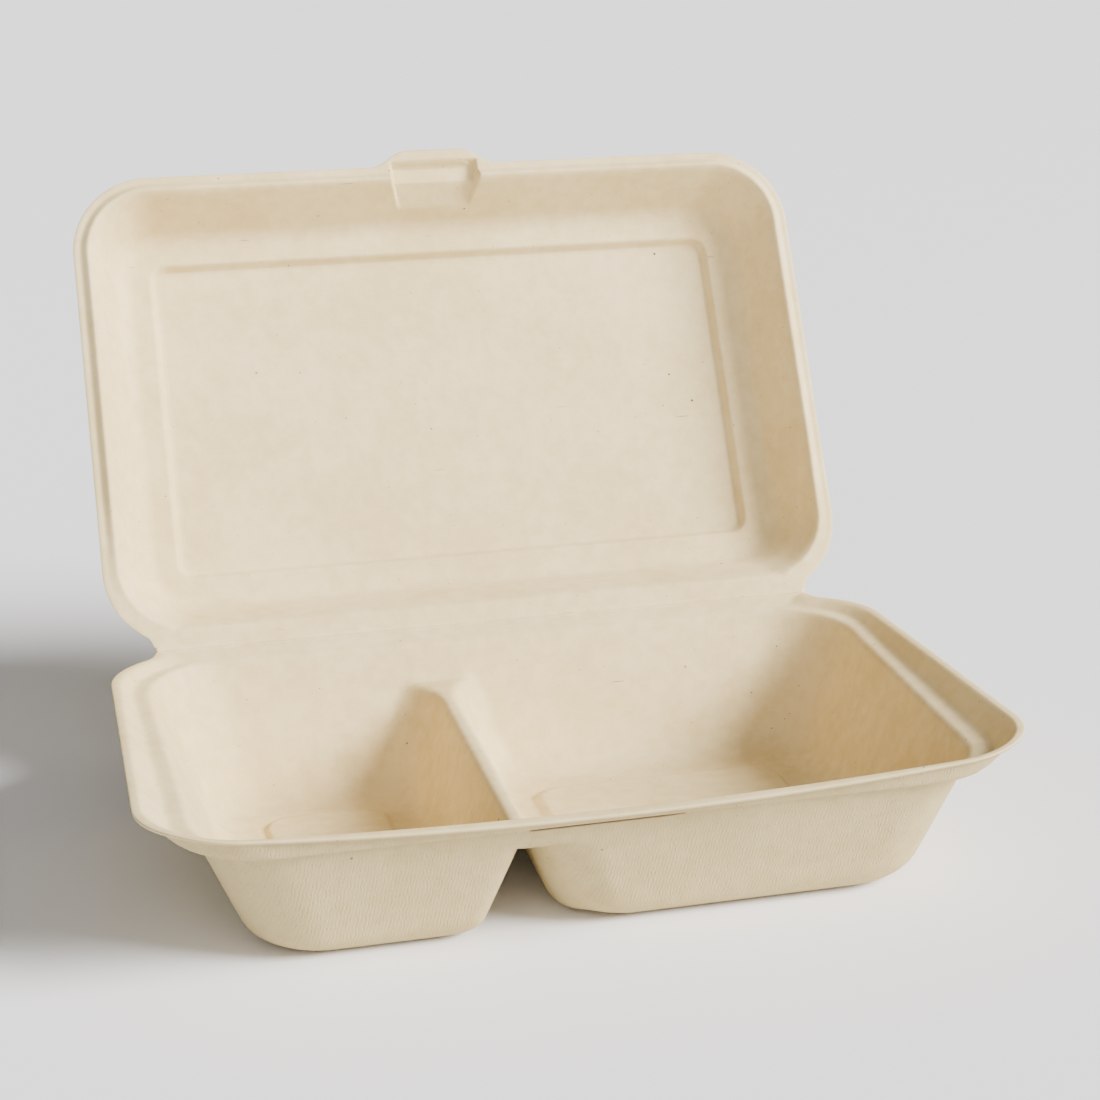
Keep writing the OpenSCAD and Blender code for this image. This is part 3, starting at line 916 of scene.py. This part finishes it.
class Nodes:
    """Short calls for building one node tree."""

    def __init__(self, tree: NodeTree) -> None:
        """Starts on an empty tree."""
        self.tree = tree

    def add(self, kind: str, **values: object) -> Node:
        """Adds a node and sets its properties and unlinked inputs.

        Args:
            kind: The node's type, without the word ShaderNode.
            **values: Properties by name, or inputs by their name with _ for a space.

        Returns:
            The new node.
        """
        node = self.tree.nodes.new("ShaderNode" + kind)
        for name, value in values.items():
            if hasattr(node, name) and name not in node.inputs:
                setattr(node, name, value)
            else:
                self.put(node, name.replace("_", " "), value)
        return node

    def put(self, node: Node, name: str | int, value: object) -> None:
        """Sets one input, or links it where the value is a socket.

        Args:
            node: The node that has the input.
            name: The input's name or index.
            value: A plain value or another node's socket.
        """
        socket = node.inputs[name]
        if isinstance(value, Socket):
            self.tree.links.new(value, socket)
        else:
            socket.default_value = value

    def math(self, operation: str, *values: float | Socket) -> Socket:
        """Adds a Math node.

        Args:
            operation: The operation's name.
            *values: Its inputs in order.

        Returns:
            The node's result.
        """
        node = self.add("Math", operation=operation)
        for i, value in enumerate(values):
            self.put(node, i, value)
        return node.outputs[0]

    def times(self, a: float | Socket, b: float | Socket) -> Socket:
        """A product of two values."""
        return self.math("MULTIPLY", a, b)

    def plus(self, a: float | Socket, b: float | Socket) -> Socket:
        """A sum of two values."""
        return self.math("ADD", a, b)

    def minus(self, a: float | Socket, b: float | Socket) -> Socket:
        """The first value less the second."""
        return self.math("SUBTRACT", a, b)

    def ramp(self, value: Socket, low: float | Socket, high: float | Socket) -> Socket:
        """Adds a smooth, clamped step.

        Args:
            value: What is compared.
            low: Value at which the step is 0.
            high: Value at which it is 1.

        Returns:
            The step's result.
        """
        node = self.add("MapRange", interpolation_type="SMOOTHSTEP", Value=value)
        self.put(node, "From Min", low)
        self.put(node, "From Max", high)
        return node.outputs["Result"]

    def mix(self, share: object, a: object, b: object) -> Socket:
        """Mixes two colours.

        Args:
            share: Share of the second colour.
            a: The first colour.
            b: The second colour.

        Returns:
            The mixed colour.
        """
        node = self.add("Mix", data_type="RGBA", Factor=share)
        for i, value in ((6, a), (7, b)):
            self.put(node, i, value)
        return node.outputs[2]

    def noise(self, where: Socket, scale: float, detail: float = 2.0, roughness: float = 0.5) -> Socket:
        """A noise value at a place given in millimetres."""
        node = self.add("TexNoise", Vector=where, Scale=scale, Detail=detail, Roughness=roughness)
        return node.outputs["Fac"]

    def turned(self, where: Socket, turn: Triple, stretch: Triple) -> Socket:
        """Turns and stretches a place, for marks that lie in one direction.

        Args:
            where: The place.
            turn: Rotation about the three axes in radians.
            stretch: Scale along them.

        Returns:
            The new place.
        """
        node = self.add("Mapping", Vector=where, Rotation=turn, Scale=stretch)
        return node.outputs[0]


def new_group(
    name: str, inputs: dict[str, str], outputs: dict[str, str]
) -> tuple[NodeTree, Nodes, Node, Node]:
    """Starts a shader node group with named sockets.

    Args:
        name: Name of the group.
        inputs: Socket type by input name.
        outputs: Socket type by output name.

    Returns:
        The group, its builder, its input node and its output node.
    """
    group = bpy.data.node_groups.new(name, "ShaderNodeTree")
    for way, sockets in (("INPUT", inputs), ("OUTPUT", outputs)):
        for label, kind in sockets.items():
            group.interface.new_socket(label, in_out=way, socket_type="NodeSocket" + kind)
    nodes = Nodes(group)
    return group, nodes, nodes.tree.nodes.new("NodeGroupInput"), nodes.tree.nodes.new("NodeGroupOutput")


def pulp_group() -> NodeTree:
    """The look of pressed fibre: clouds, fibres, dark specks and loose hairs.

    Returns:
        A group that puts out a colour and a height in millimetres.
    """
    inputs = {"Place": "Vector", "Clouds": "Float", "Specks": "Float"}
    inputs |= {"Light": "Color", "Dark": "Color"}
    outputs = {"Color": "Color", "Height": "Float"}
    group, n, start, end = new_group("Pressed pulp", inputs, outputs)
    place = start.outputs["Place"]
    broad = n.noise(place, 0.028, 3.0, 0.55)
    cloud = n.noise(place, 0.22, 4.0, 0.6)
    fine = n.noise(place, 1.6, 3.0, 0.65)
    tone = n.plus(n.times(broad, 0.5), n.times(cloud, 0.5))
    share = n.times(n.ramp(tone, 0.34, 0.66), start.outputs["Clouds"])
    colour = n.mix(share, start.outputs["Light"], start.outputs["Dark"])
    threads = None
    for turn in ((0.3, 0.2, 0.5), (0.9, -0.4, 1.6), (-0.5, 0.7, 2.6)):
        fibre = n.noise(n.turned(place, turn, (0.16, 1.5, 1.5)), 1.0, 2.0, 0.5)
        line = n.ramp(fibre, 0.6, 0.75)
        threads = line if threads is None else n.math("MAXIMUM", threads, line)
    colour = n.mix(n.times(threads, 0.3), colour, start.outputs["Light"])
    marks = None
    for turn, stretch, size, kept in (
        ((0.2, 0.1, 0.4), (0.30, 0.30, 0.30), 0.13, 0.10),
        ((0.6, 0.3, 1.1), (0.55, 0.55, 0.55), 0.12, 0.14),
        ((0.4, 0.9, 0.7), (0.022, 0.45, 0.45), 0.075, 0.20),
        ((1.2, 0.2, 2.3), (0.026, 0.50, 0.50), 0.075, 0.20),
    ):
        where = n.turned(place, turn, stretch)
        cell = n.add("TexVoronoi", Vector=where, Scale=1.0)
        pick = n.add("SeparateColor", Color=cell.outputs["Color"])
        spread = n.times(pick.outputs[1], size)
        near = n.ramp(n.minus(cell.outputs["Distance"], spread), 0.015, -0.015)
        chosen = n.math("LESS_THAN", pick.outputs[0], kept)
        strength = n.plus(n.times(pick.outputs[2], 0.6), 0.25)
        mark = n.times(n.times(near, chosen), strength)
        marks = mark if marks is None else n.math("MAXIMUM", marks, mark)
    marks = n.times(marks, start.outputs["Specks"])
    colour = n.mix(marks, colour, SPECK_COLOUR)
    height = n.plus(n.times(fine, 0.03), n.times(cloud, 0.09))
    height = n.plus(height, n.times(threads, 0.02))
    n.put(end, "Color", colour)
    n.put(end, "Height", height)
    return group


def screen_group() -> NodeTree:
    """The print of the forming screen on the side that is not pressed smooth.

    Returns:
        A group that puts out the height of the print in millimetres.
    """
    inputs = {"Place": "Vector", "Depth": "Float"}
    group, n, start, end = new_group("Screen print", inputs, {"Height": "Float"})
    place = start.outputs["Place"]
    bent = n.add("TexNoise", Vector=place, Scale=0.45, Detail=2.0)
    shift = n.add("VectorMath", operation="SCALE", Vector=bent.outputs["Color"], Scale=1.5)
    moved = n.add("VectorMath", operation="ADD")
    n.put(moved, 0, place)
    n.put(moved, 1, shift.outputs[0])
    split = n.add("SeparateXYZ", Vector=moved.outputs[0])
    turns = math.tau / SCREEN_PITCH
    upright = n.plus(split.outputs[2], n.times(split.outputs[1], 0.35))
    across = n.plus(split.outputs[0], n.times(split.outputs[1], 0.4))
    along = n.minus(upright, n.times(split.outputs[0], 0.5))
    ribs = n.math("SINE", n.times(across, turns))
    beads = n.math("SINE", n.times(along, turns))
    cell = n.times(ribs, n.plus(n.times(beads, 0.45), 0.75))
    broken = n.ramp(n.noise(place, 0.7, 3.0, 0.65), 0.36, 0.7)
    n.put(end, "Height", n.times(n.times(cell, broken), start.outputs["Depth"]))
    return group


@dataclass(frozen=True)
class SlotBrownAndShade:
    """The dark line along the slot, by its place and reach in millimetres: the cut edge's own brown, and
    painted shade of the slot's narrow gap.

    A pair holds where a fade starts and where it is complete.
    """

    x: float = -2.0
    y: float = -75.0
    z: float = 36.4
    ends: tuple[float, float] = (22.0, 20.8)
    front: tuple[float, float] = (5.2, 4.6)
    curl: tuple[float, float] = (16.5, 20.5)
    curl_height: float = 0.25
    height: tuple[float, float] = (0.45, 0.25)
    ragged: float = 0.5
    strength: float = 0.9
    # Colour of the slot line: the cut's brown, and painted shade of the gap.
    char: Triple = (0.19, 0.12, 0.055)

    def share(self, n: Nodes, place: Socket) -> Socket:
        """How dark the slot line is at a place, with the cut's brown and the painted shade of the gap
        together.

        Args:
            n: The builder of the material's tree.
            place: The place in millimetres.

        Returns:
            A share from 0 to 1.
        """
        split = n.add("SeparateXYZ", Vector=place)
        wide = n.ramp(n.math("ABSOLUTE", n.minus(split.outputs[0], self.x)), *self.ends)
        start, end = self.curl
        curl = n.times(n.ramp(split.outputs[0], self.x + start, self.x + end), self.curl_height)
        off = n.math("ABSOLUTE", n.minus(n.minus(split.outputs[2], curl), self.z))
        grain = n.times(n.noise(place, 0.8, 2.0, 0.5), self.ragged)
        start, end = self.height
        high = n.ramp(off, n.plus(grain, start), end)
        start, end = self.front
        front = n.ramp(split.outputs[1], self.y + start, self.y + end)
        return n.times(n.times(wide, high), n.times(front, self.strength))


@dataclass(frozen=True)
class PulpFinish:
    """One face of the pressed sheet."""

    name: str
    light: Triple
    dark: Triple
    bump: float
    clouds: float = 1.0
    specks: float = 1.0
    screen: float = 0.0
    # The slot line: the cut's brown, and painted shade of the gap.
    slot_brown_and_shade: SlotBrownAndShade | None = None
    roughness: float = 0.82
    sheen: float = 0.25

    def material(self, pulp: NodeTree, screen: NodeTree) -> Material:
        """Builds the finish as a material on object coordinates.

        Args:
            pulp: The group for the pressed fibre.
            screen: The group for the screen's print.

        Returns:
            The material.
        """
        mat = bpy.data.materials.new(self.name)
        mat.use_nodes = True
        n = Nodes(mat.node_tree)
        shader = mat.node_tree.nodes["Principled BSDF"]
        coords = n.add("TexCoord")
        scaled = n.add("VectorMath", operation="SCALE", Vector=coords.outputs["Object"], Scale=1.0 / MM)
        place = scaled.outputs[0]
        light, dark = (*self.light, 1.0), (*self.dark, 1.0)
        fibre = n.add("Group", node_tree=pulp, Place=place, Light=light, Dark=dark)
        n.put(fibre, "Clouds", self.clouds)
        n.put(fibre, "Specks", self.specks)
        colour, height = fibre.outputs["Color"], fibre.outputs["Height"]
        if self.screen:
            printed = n.add("Group", node_tree=screen, Place=place, Depth=self.screen)
            height = n.plus(height, printed.outputs["Height"])
        # Darkens the slot line: the cut's brown, and painted shade of the gap.
        if self.slot_brown_and_shade:
            colour = n.mix(self.slot_brown_and_shade.share(n, place), colour, (*self.slot_brown_and_shade.char, 1.0))
        n.put(shader, "Base Color", colour)
        n.put(shader, "Roughness", self.roughness)
        n.put(shader, "Specular IOR Level", self.sheen)
        bump = n.add("Bump", Strength=self.bump, Distance=MM, Height=height)
        n.put(shader, "Normal", bump.outputs[0])
        return mat


FINISHES = (
    PulpFinish(
        "pulp_smooth",
        light=(0.80, 0.645, 0.355),
        dark=(0.70, 0.545, 0.265),
        specks=1.4,
        bump=0.8,
    ),
    # The far side, with the screen's print. Its colour, much darker than the food side, is painted shade
    # of the outer walls, which face away from the lamps.
    PulpFinish(
        "pulp_printed_shaded",
        light=(0.55, 0.44, 0.225),
        dark=(0.48, 0.372, 0.175),
        clouds=0.9,
        bump=0.9,
        screen=0.11,
        slot_brown_and_shade=SlotBrownAndShade(),
    ),
    # The cut edges. Their darker colour is painted shade: the dark line that falls along the lip.
    PulpFinish(
        "pulp_edge_shaded",
        light=(0.64, 0.515, 0.28),
        dark=(0.57, 0.445, 0.22),
        clouds=0.55,
        specks=0.5,
        bump=0.4,
        slot_brown_and_shade=SlotBrownAndShade(),
    ),
    PulpFinish(
        "pulp_crease",
        light=(0.80, 0.655, 0.37),
        dark=(0.70, 0.545, 0.27),
        specks=1.5,
        bump=1.2,
    ),
)


@dataclass(frozen=True)
class Viewpoint:
    """The photograph's camera, fitted to the sheet's frame in millimetres."""

    place: Triple = (-140.982, -681.221, 215.904)
    yaw: float = 0.232946
    pitch: float = 0.269744
    roll: float = -0.022566
    focal_pixels: float = 2202.9
    frame_pixels: float = 1100.0
    sensor: float = 36.0

    def create(self, sheet: Sheet) -> None:
        """Makes the camera and sets it as the scene's own.

        Args:
            sheet: Where the sheet's frame lies in the model.
        """
        level = math.cos(self.pitch)
        ahead = Vector((math.sin(self.yaw) * level, math.cos(self.yaw) * level, -math.sin(self.pitch)))
        right = Vector((math.cos(self.yaw), -math.sin(self.yaw), 0.0))
        up = right.cross(ahead)
        c, s = math.cos(self.roll), math.sin(self.roll)
        right, up = c * right + s * up, c * up - s * right
        data = bpy.data.cameras.new("view")
        data.sensor_width = self.sensor
        data.lens = self.focal_pixels / self.frame_pixels * self.sensor
        cam = bpy.data.objects.new("view", data)
        turn = Matrix((right, up, -ahead)).transposed().to_4x4()
        cam.matrix_world = Matrix.Translation((Vector(self.place) + sheet.hinge) * MM) @ turn
        bpy.context.scene.collection.objects.link(cam)
        bpy.context.scene.camera = cam


@dataclass(frozen=True)
class Lamp:
    """One far, soft studio light."""

    name: str
    turn: float
    height: float
    spread: float
    power: float
    colour: Triple = (1.0, 1.0, 1.0)

    def create(self) -> None:
        """Makes the light, which shines from its bearing and height in degrees."""
        data = bpy.data.lights.new(self.name, "SUN")
        data.angle = math.radians(self.spread)
        data.energy = self.power
        data.color = self.colour
        obj = bpy.data.objects.new(self.name, data)
        obj.rotation_euler = (math.radians(90.0 - self.height), 0.0, math.radians(self.turn))
        bpy.context.scene.collection.objects.link(obj)


@dataclass
class Studio:
    """The pale floor, the sky light and the lamps."""

    lamps: tuple[Lamp, ...] = (
        Lamp("key", 60.0, 30.0, 28.0, 10.6, (1.0, 0.98, 0.985)),
        Lamp("front", -5.0, 25.0, 70.0, 1.5, (1.0, 0.985, 0.99)),
    )
    sky: float = 0.16
    sky_colour: Triple = (1.0, 0.97, 0.90)
    floor_size: float = 30.0
    floor_tone: float = 0.95
    floor_roughness: float = 0.9

    def create(self) -> None:
        """Makes the floor, the world and the lamps."""
        world = bpy.data.worlds.new("studio")
        world.use_nodes = True
        back = world.node_tree.nodes["Background"]
        back.inputs["Color"].default_value = (*self.sky_colour, 1.0)
        back.inputs["Strength"].default_value = self.sky
        bpy.context.scene.world = world
        bm = bmesh.new()
        bmesh.ops.create_grid(bm, x_segments=1, y_segments=1, size=self.floor_size)
        mat = bpy.data.materials.new("studio_floor")
        mat.use_nodes = True
        shader = mat.node_tree.nodes["Principled BSDF"]
        shader.inputs["Base Color"].default_value = (*[self.floor_tone] * 3, 1.0)
        shader.inputs["Roughness"].default_value = self.floor_roughness
        floor = finished_object("studio_floor", bm, [mat])
        for lamp in self.lamps:
            lamp.create()


def main() -> None:
    """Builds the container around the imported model."""
    logging.basicConfig(level=logging.INFO, format="%(name)s: %(message)s")
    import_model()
    sheet = Sheet()
    Viewpoint().create(sheet)
    Studio().create()
    pulp, screen = pulp_group(), screen_group()
    # The far side and the cut edges are darker by painted shade, and both carry the slot line's painted
    # shade.
    smooth, printed, edge, torn = (finish.material(pulp, screen) for finish in FINISHES)
    tray = TrayShell(sheet).build([smooth, printed, edge])
    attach(tray, "tray")
    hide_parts("tray")
    lid = LidShell(sheet).build([smooth, printed, edge])
    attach(lid, "lid")
    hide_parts("lid")
    fold = FoldStrip(sheet)
    strip = fold.build(torn)
    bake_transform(strip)
    for piece in (tray, lid, strip):
        log.info("%s: %d faces before its wall", piece.name, len(piece.data.polygons))


if __name__ == "__main__":
    main()
